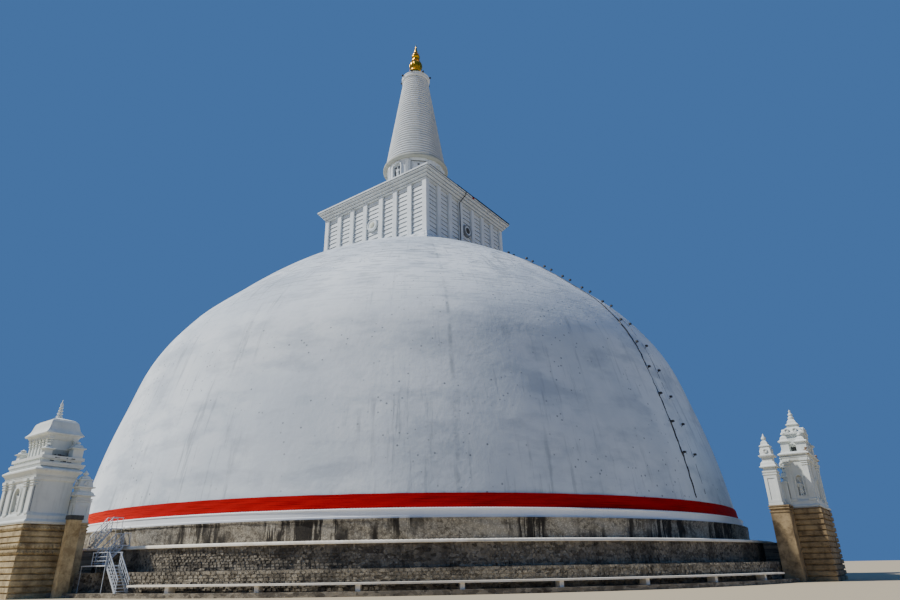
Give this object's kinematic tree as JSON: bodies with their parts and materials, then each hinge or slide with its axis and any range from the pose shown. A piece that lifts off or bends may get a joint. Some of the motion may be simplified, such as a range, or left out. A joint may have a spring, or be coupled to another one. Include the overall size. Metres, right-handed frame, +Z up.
{
  "type": "scale model of a white dome stupa, 1:10",
  "caption": "Whitewashed round dome stupa on stepped stone terraces with a cloth band, square harmika, ringed spire, gilded pinnacle and frontispieces, as a 1:10 scale model.",
  "frame": {"origin": "on the dome's axis at ground level, the centre of the footprint's flat underside", "axes": "+Z up along the axis of the dome, spire and pinnacle; -Y faces the frontispiece called south, +X the one called east"},
  "size_m": [9.734, 9.796, 9.27],
  "materials": {
    "plaster": "matt white limewash over brick, streaked and patched",
    "grey_plaster": "weathered grey limewash",
    "rubble": "rough stained rubble masonry",
    "coping": "pale worn coping slabs",
    "limestone": "tan moulded limestone, worn and stained",
    "cloth": "orange woven cloth band",
    "gilding": "gilded metal, bright",
    "steel": "galvanised steel",
    "crystal": "clear polished crystal"
  },
  "bodies": {
    "root": {"ground_step": "rubble", "lower_terrace": "rubble", "middle_terrace": "rubble", "middle_coping": "coping", "upper_terrace": "rubble", "dome_foot": "plaster", "offering_bench_south_east": "coping", "offering_bench_north_east": "coping", "offering_bench_north_west": "coping", "offering_bench_south_west": "coping", "dome": "plaster", "sash": "cloth", "harmika_walls": "plaster", "harmika_cornice": "plaster", "harmika_roof": "grey_plaster", "drum": "plaster", "drum_hood": "plaster", "spire": "plaster", "spire_collar": "plaster", "pinnacle": "gilding", "crystal": "crystal", "east_base": "limestone", "east_walls": "plaster", "east_storey": "plaster", "east_roof": "plaster", "east_wing": "plaster", "north_base": "limestone", "north_walls": "plaster", "north_storey": "plaster", "north_roof": "plaster", "north_wing": "plaster", "west_base": "limestone", "west_walls": "plaster", "west_storey": "plaster", "west_roof": "plaster", "west_wing": "plaster", "south_base": "limestone", "south_walls": "plaster", "south_storey": "plaster", "south_roof": "plaster", "south_wing": "plaster", "guard_pillar": "limestone", "stair_lower_flight": "steel", "stair_landing": "steel", "stair_main_flight": "steel", "stair_upper_flight": "steel"}
  },
  "joints": []
}
